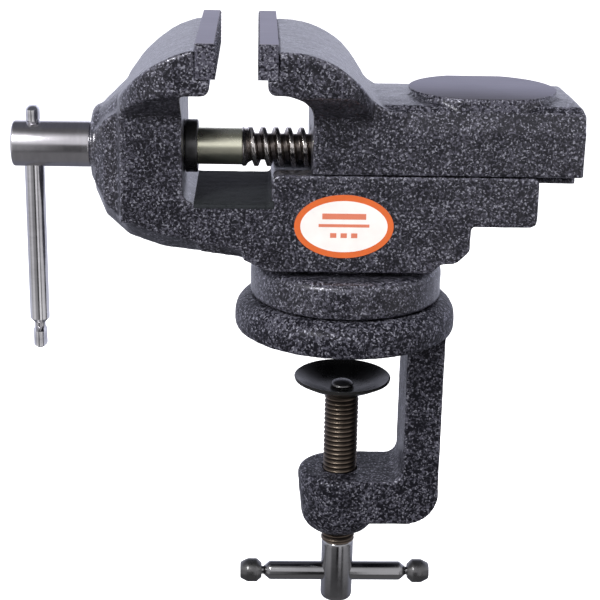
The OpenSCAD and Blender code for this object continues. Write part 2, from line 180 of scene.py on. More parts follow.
def hammer_paint(name, speck=(0.074, 0.072, 0.093), glint=(0.30, 0.30, 0.35), grain=1320,
                 relief=0.10 * MM, roughness=0.30, specular=0.3, coat=0.6, bare=None, metal=None,
                 painted_shade=None):
    """Black hammer-finish paint with silver flakes under a clear lacquer of weight `coat`.

    Outer edges get more and brighter flakes, a painted highlight, and inner corners are darkened,
    a painted shade. speck is the colour of the many dim flakes, glint that of the few bright ones,
    grain their fineness, relief the height of the paint's bumps. bare(nodes) is a mask of ground
    metal of colour `metal`, without paint; the last argument, also a function of the nodes, is a mask
    of painted shade: plain matt black without lacquer.
    """
    n = new_material(name)
    blobs = n.noise(grain, 1.0, 0.5, 0.7)
    flakes = n.noise(grain * 1.37, 0.0)
    drift = n.noise(grain * 0.13, 2.0)
    level = n.math("ADD", blobs, n.math("MULTIPLY", n.math("SUBTRACT", drift, 0.5), 0.22))
    # More and brighter flakes on outer edges: a painted highlight.
    level = n.math("ADD", level, n.math("MULTIPLY", n.edges(0.05), 0.10))
    specks = n.ramp(level, (0.45, 0.0), (0.55, 0.40), (0.66, 1.0))
    bright = n.ramp(flakes, (0.60, 0.0), (0.68, 1.0))
    glints = n.math("MULTIPLY", bright, n.ramp(level, (0.47, 0.0), (0.58, 1.0)))
    colour = n.mix(glints, n.mix(specks, PAINT_BLACK, speck), glint)
    # Inner corners and grooves darkened towards black: a painted shade.
    colour = n.mix(n.creases(0.06), colour, shade(PAINT_BLACK, 0.7))
    rough = n.ramp(drift, (0.3, roughness * 0.85), (0.7, roughness * 1.15))
    normal = n.bump(level, relief)
    normal = n.bump(n.noise(150, 2.0), 1.2 * MM, 0.22, normal)
    metallic = n.math("MULTIPLY", glints, 0.5)
    # A plain black patch without flakes or lacquer: painted shade.
    if painted_shade:
        mask = painted_shade(n)
        colour = n.mix(mask, colour, SHADE_BLACK)
        rough = n.mix(mask, rough, 0.75, "FLOAT")
        n.link(n.mix(mask, coat, 0.0, "FLOAT"), n.shader.inputs["Coat Weight"])
    if bare:
        mask = bare(n)
        grind = n.noise(900, 3.0, coords=n.stretch((0.06, 1, 1)))
        cloud = n.noise(50, 4.0)
        tone = n.math("ADD", n.math("MULTIPLY", grind, 0.5), n.math("MULTIPLY", cloud, 0.5))
        ground = n.ramp(tone, (0.35, shade(metal, 0.93)), (0.65, shade(metal, 1.07)))
        colour = n.mix(mask, colour, ground)
        metallic = n.mix(mask, metallic, 1.0, "FLOAT")
        rough = n.mix(mask, rough, 0.45, "FLOAT")
        normal = n.mix(mask, normal, n.bump(grind, 0.01 * MM, 0.4), "VECTOR")
    n.link(colour, n.shader.inputs["Base Color"])
    n.link(metallic, n.shader.inputs["Metallic"])
    n.link(rough, n.shader.inputs["Roughness"])
    n.link(normal, n.shader.inputs["Normal"])
    n.set(Specular_IOR_Level=specular, Specular_Tint=(0.86, 0.86, 1.0, 1),
          Coat_Weight=coat, Coat_Roughness=0.3)
    return n.owner


def steel(name, dark, light, roughness, along=(1, 1, 1)):
    """Turned or ground steel: fine lines across `along`, faint stains and brighter edges."""
    n = new_material(name)
    lines = n.noise(700, 3.0, 0.6, coords=n.stretch(along))
    stain = n.noise(70, 4.0, 0.6)
    level = n.math("ADD", n.math("MULTIPLY", lines, 0.4), n.math("MULTIPLY", stain, 0.6))
    tone = n.ramp(level, (0.35, dark), (0.65, light))
    worn = tuple(min(1.0, c * 1.3 + 0.03) for c in light)
    rough = n.ramp(stain, (0.3, roughness * 0.8), (0.7, roughness * 1.25))
    n.link(n.mix(n.edges(0.06), tone, worn), n.shader.inputs["Base Color"])
    n.link(rough, n.shader.inputs["Roughness"])
    n.link(n.bump(lines, 0.02 * MM, 0.4), n.shader.inputs["Normal"])
    n.set(Metallic=1.0)
    return n.owner


def thread_steel(name, groove, crest, axis, centre, radii, roughness):
    """A screw thread's steel: darker towards the grooves' roots, lighter and less rough towards the
    crests.

    groove and crest are colours; radii is (root, crest) about the axis through centre.
    """
    n = new_material(name)
    root, top = radii
    height = n.math("SUBTRACT", n.radius_from(axis, centre), root)
    rise = n.math("DIVIDE", height, top - root, clamp=True)
    stain = n.noise(260, 4.0, 0.6)
    level = n.math("ADD", rise, n.math("MULTIPLY", n.math("SUBTRACT", stain, 0.5), 0.7))
    middle = tuple((a + 2 * b) / 3 for a, b in zip(crest, groove))
    tone = n.ramp(level, (0.1, groove), (0.6, middle), (0.95, crest))
    rough = n.ramp(level, (0.1, roughness * 1.6), (0.95, roughness))
    n.link(tone, n.shader.inputs["Base Color"])
    n.link(rough, n.shader.inputs["Roughness"])
    n.link(n.bump(n.noise(900, 2.0), 0.02 * MM, 0.4), n.shader.inputs["Normal"])
    n.set(Metallic=1.0)
    return n.owner


def blackened(name, dark, light, metallic, roughness, edge, specular=0.5):
    """Blackened steel or black enamel between two grey levels, rubbed brighter along its edges."""
    n = new_material(name)
    stain = n.noise(160, 4.0, 0.6)
    tone = n.ramp(stain, (0.3, (dark, dark, dark * 1.04)), (0.7, (light, light, light * 1.04)))
    rough = n.ramp(stain, (0.3, roughness * 0.8), (0.7, roughness * 1.3))
    n.link(n.mix(n.edges(0.05), tone, (edge, edge, edge)), n.shader.inputs["Base Color"])
    n.link(rough, n.shader.inputs["Roughness"])
    n.link(n.bump(n.noise(1200, 2.0), 0.03 * MM, 0.3), n.shader.inputs["Normal"])
    n.set(Metallic=metallic, Specular_IOR_Level=specular)
    return n.owner


def above(height):
    """A mask that is 1 on a flat ground top at that height."""
    slack = 0.05 * MM

    def mask(n):
        return n.math("GREATER_THAN", n.axis(n.coords, "Z"), height - slack)
    return mask


def throat_floor_shade(n):
    """A mask that is 1 on the flat floor between the fixed upright and the cradle, where the paint is
    darkened to plain black: a painted shade.
    """
    x, z = n.axis(n.coords, "X"), n.axis(n.coords, "Z")
    rise = n.math("ABSOLUTE", n.math("SUBTRACT", z, THROAT_Z))
    reach = n.math("ABSOLUTE", n.math("SUBTRACT", x, THROAT_X))
    near = n.math("LESS_THAN", rise, THROAT_SLACK)
    inside = n.math("LESS_THAN", reach, THROAT_HALF)
    return n.math("MULTIPLY", near, inside)


# ---------------------------------------------------------------- mesh helpers

def add_object(name, mesh, material, body, nodes):
    """Puts a new piece in the scene: it rides on a body and stands for CAD nodes."""
    piece = bpy.data.objects.new(name, mesh)
    bpy.context.scene.collection.objects.link(piece)
    piece.data.materials.clear()
    piece.data.materials.append(material)
    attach(piece, body)
    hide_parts(*nodes)


def mesh_from(name, bm, smooth=True, sharp_deg=38):
    """Finishes a bmesh as a mesh: smooth shading with sharp edges kept."""
    bmesh.ops.recalc_face_normals(bm, faces=bm.faces)
    mesh = bpy.data.meshes.new(name)
    bm.to_mesh(mesh)
    bm.free()
    mesh.polygons.foreach_set("use_smooth", [smooth] * len(mesh.polygons))
    if smooth:
        mesh.set_sharp_from_angle(angle=math.radians(sharp_deg))
    return mesh


def grid_surface(bm, rows, close_rows=False):
    """Joins rings of equal length into a closed solid; close_rows joins the last to the first."""
    rings = [[bm.verts.new(p) for p in row] for row in rows]
    count = len(rings[0])
    pairs = list(zip(rings, rings[1:])) + ([(rings[-1], rings[0])] if close_rows else [])
    for low, high in pairs:
        for i in range(count):
            j = (i + 1) % count
            bm.faces.new((low[i], low[j], high[j], high[i]))
    if not close_rows:
        bm.faces.new(list(reversed(rings[0])))
        bm.faces.new(rings[-1])


def around(axis, centre, along, radius, angle):
    """A point at that distance along and around an axis ("X" or "Z") through centre."""
    c, s = radius * math.cos(angle), radius * math.sin(angle)
    if axis == "X":
        return Vector((along, centre[0] + c, centre[1] + s))
    return Vector((centre[0] + c, centre[1] + s, along))


def turned(name, axis, centre, profile, steps=72, ring=False):
    """A turned piece: profile is a list of (along, radius). ring leaves its middle open."""
    smallest = 1e-5
    bm = bmesh.new()
    rows = [[around(axis, centre, along, max(radius, smallest), TAU * i / steps) for i in range(steps)]
            for along, radius in profile]
    grid_surface(bm, rows, close_rows=ring)
    return mesh_from(name, bm)


def fillet(profile, radius, steps=4):
    """Rounds the corners between the ends of an open (along, radius) outline."""
    out = [profile[0]]
    for before, corner, after in zip(profile, profile[1:], profile[2:]):
        p, q, r = (Vector(v).to_2d() for v in (before, corner, after))
        a, b = (p - q), (r - q)
        reach = min(radius, a.length * 0.45, b.length * 0.45)
        start, end = q + a.normalized() * reach, q + b.normalized() * reach
        for i in range(steps + 1):
            t = i / steps
            out.append(tuple((1 - t) ** 2 * start + 2 * t * (1 - t) * q + t ** 2 * end))
    out.append(profile[-1])
    return out


def threaded(name, axis, centre, plain, thread, depth, pitch, form, steps=60, per_pitch=16, phase=0.0):
    """A turned piece whose `thread` stretch (from, to) has a helical thread, `depth` deep.

    plain is the (along, radius) outline; form(t) gives the cut, 0 to 1, at t turns along the pitch.
    The thread runs out within 0.8 of a pitch at both ends.
    """
    start, end = sorted(thread)
    outline = sorted(plain)
    marks = [along for along, _ in outline]
    radii = [radius for _, radius in outline]
    inner = list(np.arange(start, end, pitch / per_pitch)) + [end]
    stations = sorted(set([round(along, 8) for along in marks + inner]))
    run_out = 0.8 * pitch
    rows = []
    for along in stations:
        base = float(np.interp(along, marks, radii))
        fade = min(1.0, max(0.0, (along - start) / run_out), max(0.0, (end - along) / run_out))
        row = []
        for i in range(steps):
            cut = form((along / pitch - i / steps + phase) % 1.0) * depth * fade
            row.append(around(axis, centre, along, base - cut, TAU * i / steps))
        rows.append(row)
    bm = bmesh.new()
    grid_surface(bm, rows)
    return mesh_from(name, bm, sharp_deg=50)


def trapezoid(t):
    """Depth of a coarse thread at t turns: 0 on its crest, sloping flanks, 1 in its root."""
    crest, flank = 0.30, 0.36
    return min(1.0, max(0.0, (abs(t - 0.5) * 2 - crest) / flank))


def vee(t):
    """Depth of a fine thread."""
    slope, crest = 2.4, 0.15
    return min(1.0, max(0.0, abs(t - 0.5) * slope - crest))


VOXEL = 0.62 * MM
SOFTENING = 3                   # smoothing steps that round a casting's edges
LUMP_RISE = 0.10 * MM
LUMP_SIZE = 3.2 * MM
LUMP_SINK = 0.35                # keeps most of the uneven skin inside the CAD's


def casting(node, name, material, extra=()):
    """A CAD casting as cast iron: remeshed, its edges rounded and its skin slightly uneven.

    Each function in extra changes the points in place.
    """
    source = frame["nodes"][node]
    bm = bmesh.new()
    bm.from_mesh(source.data)
    bmesh.ops.remove_doubles(bm, verts=bm.verts, dist=1e-6)
    mesh = bpy.data.meshes.new(name)
    bm.to_mesh(mesh)
    bm.free()
    piece = bpy.data.objects.new(name + "_work", mesh)
    bpy.context.scene.collection.objects.link(piece)
    remesh = piece.modifiers.new("remesh", "REMESH")
    remesh.mode = "VOXEL"
    remesh.voxel_size = VOXEL
    remesh.use_smooth_shade = True
    soften = piece.modifiers.new("soften", "SMOOTH")
    soften.factor = 0.5
    soften.iterations = SOFTENING
    evaluated = piece.evaluated_get(bpy.context.evaluated_depsgraph_get())
    result = bpy.data.meshes.new_from_object(evaluated)
    bpy.data.objects.remove(piece)
    result.name = name
    points = np.empty(len(result.vertices) * 3)
    result.vertices.foreach_get("co", points)
    normals = np.empty(len(result.vertices) * 3)
    result.vertices.foreach_get("normal", normals)
    points, normals = points.reshape(-1, 3), normals.reshape(-1, 3)
    rise = np.array([noise.noise(Vector(p) / LUMP_SIZE) for p in points]) - LUMP_SINK
    points += normals * (rise * LUMP_RISE)[:, None]
    for change in extra:
        change(points, normals)
    low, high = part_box(node)
    points = np.clip(points, np.array(low), np.array(high))
    result.vertices.foreach_set("co", points.ravel())
    result.update()
    result.polygons.foreach_set("use_smooth", [True] * len(result.polygons))
    body = next(b for b, members in RECORD["behaviour"]["bodies"].items() if node in members)
    add_object(name, result, material, body, [node])


# ---------------------------------------------------------------- places taken from the record

RECORD = frame["record"]
MOUNTS = {mount["name"]: mount["pos_m"] for mount in RECORD["mounts"]}
OPENINGS = {opening["name"]: opening["box_m"] for opening in RECORD["physics"]["openings"]}
JOINTS = {joint["name"]: joint for joint in RECORD["behaviour"]["joints"]}
SCREW_Z = JOINTS["screw_spin"]["pos_m"][2]
ANVIL_X, _, ANVIL_TOP = MOUNTS["anvil_face"]
JAW_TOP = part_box("fixed_jaw_plate")[1][2]
TONGUE_DEPTH = 3.4 * MM
TONGUE_HALF = 14 * MM
CRADLE_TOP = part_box("moving_jaw")[0][2] + TONGUE_DEPTH
THROAT_LOW, THROAT_HIGH = OPENINGS["throat_below_screw"]
THROAT_Z = THROAT_LOW[2] - 0.1 * MM
THROAT_X = (THROAT_LOW[0] + THROAT_HIGH[0]) / 2
THROAT_HALF = (THROAT_HIGH[0] - THROAT_LOW[0]) / 2 + 1 * MM
THROAT_SLACK = 1.2 * MM

LEAD_CREST, LEAD_DEPTH, LEAD_PITCH = 5.8 * MM, 1.9 * MM, 3.75 * MM
CLAMP_CREST, CLAMP_DEPTH, CLAMP_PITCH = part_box("clamp_screw")[1][0], 0.6 * MM, 1.5 * MM


# ---------------------------------------------------------------- materials in use

PAINT = hammer_paint("hammer_paint", painted_shade=throat_floor_shade)
FRAME_PAINT = hammer_paint("hammer_paint_frame", speck=(0.075, 0.074, 0.094),
                           glint=(0.26, 0.26, 0.30), grain=1150, relief=0.16 * MM, roughness=0.40,
                           specular=0.12, coat=0.1)
PLATE_PAINT = hammer_paint("painted_plate_with_ground_top", specular=0.5, coat=0.0,
                           bare=above(JAW_TOP), metal=(0.52, 0.50, 0.50))
PAD_PAINT = hammer_paint("painted_pad_with_ground_top", specular=0.5, coat=0.0,
                         bare=above(ANVIL_TOP), metal=(0.40, 0.385, 0.385))
BRIGHT = steel("bright_steel", (0.44, 0.43, 0.45), (0.62, 0.61, 0.63), 0.22, along=(1, 0.2, 0.2))
BAR_STEEL = steel("handle_steel", (0.52, 0.515, 0.53), (0.76, 0.75, 0.77), 0.15,
                  along=(0.2, 0.2, 1))
SHANK = steel("oiled_steel", (0.66, 0.53, 0.37), (0.92, 0.78, 0.58), 0.30, along=(1, 0.2, 0.2))
LEAD_THREAD = thread_steel("lead_thread_steel", (0.24, 0.21, 0.19), (0.80, 0.76, 0.72),
                           "X", (0, SCREW_Z), (LEAD_CREST - LEAD_DEPTH, LEAD_CREST), 0.2)
CLAMP_THREAD = thread_steel("clamp_thread_steel", (0.03, 0.024, 0.02), (0.175, 0.14, 0.11),
                            "Z", (0, 0), (CLAMP_CREST - CLAMP_DEPTH, CLAMP_CREST), 0.36)
BRASS = steel("bronze_nut", (0.30, 0.20, 0.09), (0.50, 0.35, 0.17), 0.35)
BLACK = blackened("black_oxide", 0.035, 0.065, 0.9, 0.3, 0.18)
DARK_STEEL = blackened("dark_polished_steel", 0.19, 0.30, 1.0, 0.14, 0.45)
ENAMEL = blackened("black_enamel", 0.003, 0.005, 0.0, 0.28, 0.02, specular=0.22)


# ---------------------------------------------------------------- castings

PAD_RADIUS = 21.5 * MM
PAD_HALF_W = 19.9 * MM          # the pad is trimmed flush with the barrel's sides
PAD_H = 3.6 * MM
PAD_BEVEL = 0.35 * MM
PAD_SEAT = 0.6 * MM             # how far the casting lies under the pad's top


def anvil_pad():
    """The ground round pad on the moving jaw: a crisp disc with two trimmed sides."""
    steps = 160
    outline = []
    for i in range(steps):
        angle = TAU * i / steps
        x, y = PAD_RADIUS * math.cos(angle), PAD_RADIUS * math.sin(angle)
        outline.append((x, min(PAD_HALF_W, max(-PAD_HALF_W, y))))
    levels = ((ANVIL_TOP - PAD_H, 0), (ANVIL_TOP - PAD_BEVEL, 0),
              (ANVIL_TOP - 0.3 * PAD_BEVEL, 0.3 * PAD_BEVEL), (ANVIL_TOP, PAD_BEVEL))
    rows = []
    for z, inset in levels:
        shrink = 1 - inset / PAD_RADIUS
        rows.append([Vector((ANVIL_X + x * shrink, y * shrink, z)) for x, y in outline])
    bm = bmesh.new()
    grid_surface(bm, rows)
    add_object("anvil_pad", mesh_from("anvil_pad", bm), PAD_PAINT, "moving_jaw", ["moving_jaw"])


def sink_pad_seat(points, normals):
    """Lowers the casting under the pad, so that the pad's own crisp top covers it."""
    seat = ANVIL_TOP - PAD_SEAT
    reach = np.hypot(points[:, 0] - ANVIL_X, points[:, 1])
    over = (reach < PAD_RADIUS + 1.5 * MM) & (points[:, 2] > seat)
    points[over, 2] = seat


def ease_slide(points, normals):
    """Keeps the barrel's underside and the tongue clear of the cradle that they slide on."""
    barrel_lift, flank_ease, floor_lift = 0.14 * MM, 0.5 * MM, 0.12 * MM
    flank_from, flank_width = 9.5 * MM, 3 * MM
    near = np.abs(points[:, 2] - CRADLE_TOP) < 0.8 * MM
    outside = near & (np.abs(points[:, 1]) > TONGUE_HALF) & (normals[:, 2] < -0.5)
    points[outside, 2] += barrel_lift
    tongue = points[:, 2] < CRADLE_TOP
    flank = np.clip((np.abs(points[:, 1]) - flank_from) / flank_width, 0, 1) * tongue
    points[:, 1] -= np.sign(points[:, 1]) * flank * flank_ease
    points[points[:, 2] < CRADLE_TOP - 3 * MM, 2] += floor_lift


casting("clamp_frame", "base_and_clamp_casting", FRAME_PAINT)
casting("vise_body", "fixed_jaw_casting", PAINT)
casting("moving_jaw", "moving_jaw_casting", PAINT, extra=(sink_pad_seat, ease_slide))
anvil_pad()


# ---------------------------------------------------------------- jaw plates and their screws

KNURL_PITCH, KNURL_DEPTH = 2.2 * MM, 0.7 * MM


def knurl(y, z):
    """Depth of the crossed grooves at a point of a gripping face."""
    u, v = (y + z) / KNURL_PITCH, (y - z) / KNURL_PITCH
    cut = max(abs((u % 1) - 0.5), abs((v % 1) - 0.5)) * 2
    land = 0.25
    return KNURL_DEPTH * max(0.0, (cut - land) / (1 - land))


def jaw_plate(node, name, face_sign):
    """A plate with a ground top and a knurled gripping face that looks along face_sign X."""
    low, high = (Vector(c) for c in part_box(node))
    face = high.x if face_sign > 0 else low.x
    back = low.x if face_sign > 0 else high.x
    step = KNURL_PITCH / 6
    columns = int(round((high.y - low.y) / step))
    rows = int(round((high.z - low.z) / step))
    bm = bmesh.new()

    def grip_point(i, j):
        y = low.y + (high.y - low.y) * i / columns
        z = low.z + (high.z - low.z) * j / rows
        return bm.verts.new((face - face_sign * knurl(y, z), y, z))

    front = [[grip_point(i, j) for i in range(columns + 1)] for j in range(rows + 1)]
    for lower, upper in zip(front, front[1:]):
        for i in range(columns):
            bm.faces.new((lower[i], lower[i + 1], upper[i + 1], upper[i]))
    sides = front[1:-1]
    rim = front[0] + [r[-1] for r in sides] + list(reversed(front[-1]))
    rim += [r[0] for r in reversed(sides)]
    rear = [bm.verts.new((back, v.co.y, v.co.z)) for v in rim]
    for i in range(len(rim)):
        j = (i + 1) % len(rim)
        bm.faces.new((rim[i], rear[i], rear[j], rim[j]))
    bm.faces.new(rear)
    body = "vise" if face_sign > 0 else "moving_jaw"
    add_object(name, mesh_from(name, bm, smooth=False), PLATE_PAINT, body, [node])


def plate_screws(node, name, face_sign):
    """Countersunk screws, seen only from between the jaws."""
    low, high = (Vector(c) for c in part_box(node))
    face = high.x if face_sign > 0 else low.x
    head = 2.9 * MM
    depths_and_radii = ((9.5, 1.7), (1.7, 1.75), (0.2, 2.85), (0.05, 2.6), (0.05, 0.02))
    profile = [(face - face_sign * depth * MM, radius * MM) for depth, radius in depths_and_radii]
    z = (low.z + high.z) / 2
    body = "vise" if face_sign > 0 else "moving_jaw"
    for index, y in enumerate((low.y + head, high.y - head)):
        mesh = turned(f"{name}_{index + 1}", "X", (y, z), profile, steps=40)
        add_object(f"{name}_{index + 1}", mesh, BRIGHT, body, [node])


jaw_plate("fixed_jaw_plate", "fixed_jaw_plate_knurled", 1)
jaw_plate("moving_jaw_plate", "moving_jaw_plate_knurled", -1)
plate_screws("fixed_plate_screws", "fixed_plate_screw", 1)
plate_screws("moving_plate_screws", "moving_plate_screw", -1)


# ---------------------------------------------------------------- lead screw and its handle

BOSS_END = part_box("vise_body")[0][0]
HEAD_END = BOSS_END - 0.1 * MM
SHANK_END = -31.3 * MM          # where the lead screw's thread begins
SHANK_R = 5.4 * MM


def lead_screw():
    """Its head, its plain shank inside the boss and its thread, each with its own steel."""
    low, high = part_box("lead_screw")
    centre = (0, SCREW_Z)
    radius = (high[1] - low[1]) / 2
    head = fillet([(low[0], CORE), (low[0], radius), (HEAD_END, radius), (HEAD_END, CORE)],
                  0.9 * MM)
    add_object("lead_screw_head", turned("lead_screw_head", "X", centre, head), BRIGHT,
               "lead_screw", ["lead_screw"])
    shank_start = BOSS_END - 1 * MM
    plain = [(shank_start, CORE), (shank_start, SHANK_R), (SHANK_END, SHANK_R), (SHANK_END, CORE)]
    add_object("lead_screw_shank", turned("lead_screw_shank", "X", centre, plain), SHANK,
               "lead_screw", ["lead_screw"])
    tip = 2 * MM                # bevel at the free end
    outline = [(SHANK_END - 0.5 * MM, CORE), (SHANK_END - 0.4 * MM, SHANK_R - 0.1 * MM),
               (SHANK_END, LEAD_CREST), (high[0] - tip, LEAD_CREST),
               (high[0] - 0.1 * MM, LEAD_CREST - tip), (high[0], CORE)]
    mesh = threaded("lead_screw_thread", "X", centre, outline, (SHANK_END, high[0]), LEAD_DEPTH,
                    LEAD_PITCH, trapezoid, phase=0.5)
    add_object("lead_screw_thread", mesh, LEAD_THREAD, "lead_screw", ["lead_screw"])


def thrust_collar():
    low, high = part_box("thrust_collar")
    radius = (high[1] - low[1]) / 2
    rim, bore = 5.5 * MM, 5.42 * MM
    ring = fillet([(low[0], rim), (low[0], radius), (high[0], radius), (high[0], rim)], 0.5 * MM)
    ring += [(high[0], bore), (low[0], bore)]
    mesh = turned("thrust_collar_turned", "X", (0, SCREW_Z), ring, ring=True)
    add_object("thrust_collar_turned", mesh, BLACK, "lead_screw", ["thrust_collar"])


HANDLE_FOOT = 0.3 * MM          # lower end of the bar's full round part
HANDLE_SHOULDER = 60.85 * MM    # its upper end, by which the bar hangs


def handle_bar():
    """A round bar whose two ends were pinched flat after it went through the screw's head."""
    low, high = (Vector(c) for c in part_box("handle_bar"))
    x = (low.x + high.x) / 2
    bar = (high.x - low.x) / 2
    # Half sizes along X and Y.
    round_bar = (bar, bar)
    neck = (1.6 * MM, 1.6 * MM)
    swell = (1.7 * MM, 2.6 * MM)
    pinch = (2.0 * MM, 3.4 * MM)
    corner = (1.3 * MM, 2.2 * MM)
    tip = (0.5 * MM, 0.8 * MM)
    stations = [(low.z, tip), (low.z + 0.3 * MM, corner), (low.z + 1.0 * MM, pinch),
                (low.z + 5.6 * MM, pinch), (low.z + 6.3 * MM, swell), (low.z + 6.7 * MM, neck),
                (HANDLE_FOOT - 0.7 * MM, neck), (HANDLE_FOOT + 0.7 * MM, round_bar),
                (HANDLE_SHOULDER - 1.2 * MM, round_bar), (HANDLE_SHOULDER - 0.1 * MM, neck),
                (HANDLE_SHOULDER + 0.4 * MM, swell), (HANDLE_SHOULDER + 1.0 * MM, pinch),
                (high.z - 1.0 * MM, pinch), (high.z - 0.3 * MM, corner), (high.z, tip)]
    steps, between = 48, 4
    rows = []
    for (z0, (rx0, ry0)), (z1, (rx1, ry1)) in zip(stations, stations[1:]):
        for k in range(between):
            t = k / between
            rx, ry, z = rx0 + (rx1 - rx0) * t, ry0 + (ry1 - ry0) * t, z0 + (z1 - z0) * t
            angles = [TAU * i / steps for i in range(steps)]
            rows.append([Vector((x + rx * math.cos(a), ry * math.sin(a), z)) for a in angles])
    bm = bmesh.new()
    grid_surface(bm, rows)
    add_object("handle_bar_pinched", mesh_from("handle_bar_pinched", bm), BAR_STEEL, "handle",
               ["handle_bar"])


lead_screw()
thrust_collar()
handle_bar()


# ---------------------------------------------------------------- table clamp

THREAD_LOW = -72.5 * MM         # where the clamp screw's thread begins, above its plain end


def clamp_screw():
    """A plain polished end with the T-bar's hole, and a dark thread above it."""
    low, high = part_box("clamp_screw")
    plain = CLAMP_CREST - 0.25 * MM
    end = fillet([(low[2], CORE), (low[2], plain), (THREAD_LOW, plain), (THREAD_LOW, CORE)],
                 1.8 * MM, steps=6)
    mesh = turned("clamp_screw_plain_end", "Z", (0, 0), end)
    add_object("clamp_screw_plain_end", mesh, DARK_STEEL, "clamp_screw", ["clamp_screw"])
    tip = 0.8 * MM
    outline = [(THREAD_LOW - 0.4 * MM, CORE), (THREAD_LOW - 0.3 * MM, plain - 0.05 * MM),
               (THREAD_LOW, CLAMP_CREST), (high[2] - tip, CLAMP_CREST),
               (high[2] - 0.1 * MM, CLAMP_CREST - tip), (high[2], CORE)]
    mesh = threaded("clamp_screw_threaded", "Z", (0, 0), outline, (THREAD_LOW, high[2]),
                    CLAMP_DEPTH, CLAMP_PITCH, vee, steps=64, per_pitch=10)
    add_object("clamp_screw_threaded", mesh, CLAMP_THREAD, "clamp_screw", ["clamp_screw"])


def clamp_cup():
    """A pressed dish with a rolled rim, loose on the screw's rivet."""
    low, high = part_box("clamp_cup")
    floor, rim, radius = low[2], high[2], high[0]
    hole = 2.4 * MM
    under = [(floor, hole), (floor, 5.4 * MM), (floor + 0.7 * MM, 8.4 * MM),
             (floor + 2.0 * MM, 11.4 * MM), (rim - 0.9 * MM, radius - 0.15 * MM),
             (rim - 0.3 * MM, radius), (rim, radius - 0.4 * MM)]
    inside = [(rim - 0.15 * MM, radius - 0.9 * MM), (floor + 3.2 * MM, 11.2 * MM),
              (floor + 1.95 * MM, 8.2 * MM), (floor + 1.3 * MM, 5.2 * MM),
              (floor + 1.3 * MM, hole)]
    mesh = turned("clamp_cup_pressed", "Z", (0, 0), under + inside, 96, ring=True)
    add_object("clamp_cup_pressed", mesh, ENAMEL, "clamp_cup", ["clamp_cup"])


def cup_rivet():
    """A shank with a peened, domed head inside the cup."""
    low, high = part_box("cup_rivet")
    top = high[2]
    dome_h, dome_r, steps = 1.5 * MM, 3.6 * MM, 8
    shank_r, under_head, head_r = 2 * MM, top - 1.6 * MM, 3.5 * MM
    dome = []
    for i in range(steps + 1):
        angle = math.pi / 2 * i / steps
        dome.append((top - dome_h * (1 - math.cos(angle)), dome_r * math.sin(angle)))
    profile = [(low[2], CORE), (low[2], shank_r), (under_head, shank_r), (under_head, head_r)]
    profile += list(reversed(dome))
    mesh = turned("cup_rivet_peened", "Z", (0, 0), profile, 48)
    add_object("cup_rivet_peened", mesh, BLACK, "cup_carrier", ["cup_rivet"])


# The outline of a T-bar knob: (along, radius) in millimetres from the side that faces the bar.
KNOB = ((0, 1.35), (0, 2.3), (1.5, 3.65), (1.9, 3.75), (4.3, 3.75), (4.8, 3.6), (6.6, 2.7),
        (6.9, 2.3), (6.9, 0.02))


def t_bar():
    """A rod with a neck at each end, and a black knob on each neck."""
    low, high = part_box("clamp_t_bar")
    z = (low[2] + high[2]) / 2
    bar, neck = (high[2] - low[2]) / 2, 1.3 * MM
    left, right = low[0] + 5 * MM, high[0] - 5 * MM
    rod = [(low[0], CORE), (low[0], neck), (left + 0.6 * MM, neck), (left + 2.4 * MM, bar * 0.96),
           (left + 2.9 * MM, bar), (right - 2.9 * MM, bar), (right - 2.4 * MM, bar * 0.96),
           (right - 0.6 * MM, neck), (high[0], neck), (high[0], CORE)]
    add_object("t_bar_rod", turned("t_bar_rod", "X", (0, z), rod, 48), DARK_STEEL, "t_bar",
               ["clamp_t_bar"])
    for name, start, sign in (("t_bar_knob_left", left, -1), ("t_bar_knob_right", right, 1)):
        profile = [(start + sign * along * MM, radius * MM) for along, radius in KNOB]
        mesh = turned(name, "X", (0, z), profile, 40)
        add_object(name, mesh, BLACK, "t_bar", ["t_bar_knobs"])


clamp_screw()
clamp_cup()
cup_rivet()
t_bar()


# ---------------------------------------------------------------- label

def glossy_foil(name, colour):
    n = new_material(name)
    tint = n.noise(300, 2.0)
    n.link(n.ramp(tint, (0.3, shade(colour, 0.94)), (0.7, colour)), n.shader.inputs["Base Color"])
    n.link(n.bump(n.noise(120, 1.0), 0.08 * MM, 0.3), n.shader.inputs["Normal"])
    n.set(Roughness=0.3, Coat_Weight=0.25)
    return n.owner


# Two bars and three dots on the label: (x, z, width, height) in millimetres from its centre.
LABEL_BARS = ((0, 3.0, 12.5, 1.7), (0, 0.3, 14.5, 0.9), (-3.0, -2.6, 1.8, 1.4),
              (0, -2.6, 1.8, 1.4), (3.0, -2.6, 1.8, 1.4))


def label():
    """An oval foil label: orange border, white field and plain bars where a label has its words."""
    low, high = (Vector(c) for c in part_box("label"))
    centre = (low + high) / 2
    half = (high - low) / 2
    border = 1.75 * MM
    skin = 0.02 * MM            # how far each printed layer stands above the one below
    orange = glossy_foil("label_orange", (0.72, 0.145, 0.035))
    white = glossy_foil("label_white", (0.94, 0.90, 0.86))
    print_red = glossy_foil("label_print", (0.72, 0.22, 0.13))

    def slab(name, outline, back, front, material):
        bm = bmesh.new()
        rows = [[Vector((centre.x + x, y, centre.z + z)) for x, z in outline] for y in (back, front)]
        grid_surface(bm, rows)
        add_object(name, mesh_from(name, bm, sharp_deg=30), material, "vise", ["label"])

    def oval(a, b):
        return [(a * math.cos(TAU * i / 96), b * math.sin(TAU * i / 96)) for i in range(96)]

    def bar(x, z, width, height):
        return [(x - width / 2, z - height / 2), (x + width / 2, z - height / 2),
                (x + width / 2, z + height / 2), (x - width / 2, z + height / 2)]

    back, face = high.y, low.y + 2 * skin
    slab("label_border", oval(half.x, half.z), back, face, orange)
    slab("label_field", oval(half.x - border, half.z - border), back, face - skin, white)
    for index, sizes in enumerate(LABEL_BARS):
        outline = bar(*(size * MM for size in sizes))
        slab(f"label_bar_{index + 1}", outline, back, face - 2 * skin, print_red)


label()


# ---------------------------------------------------------------- what stays as the CAD made it

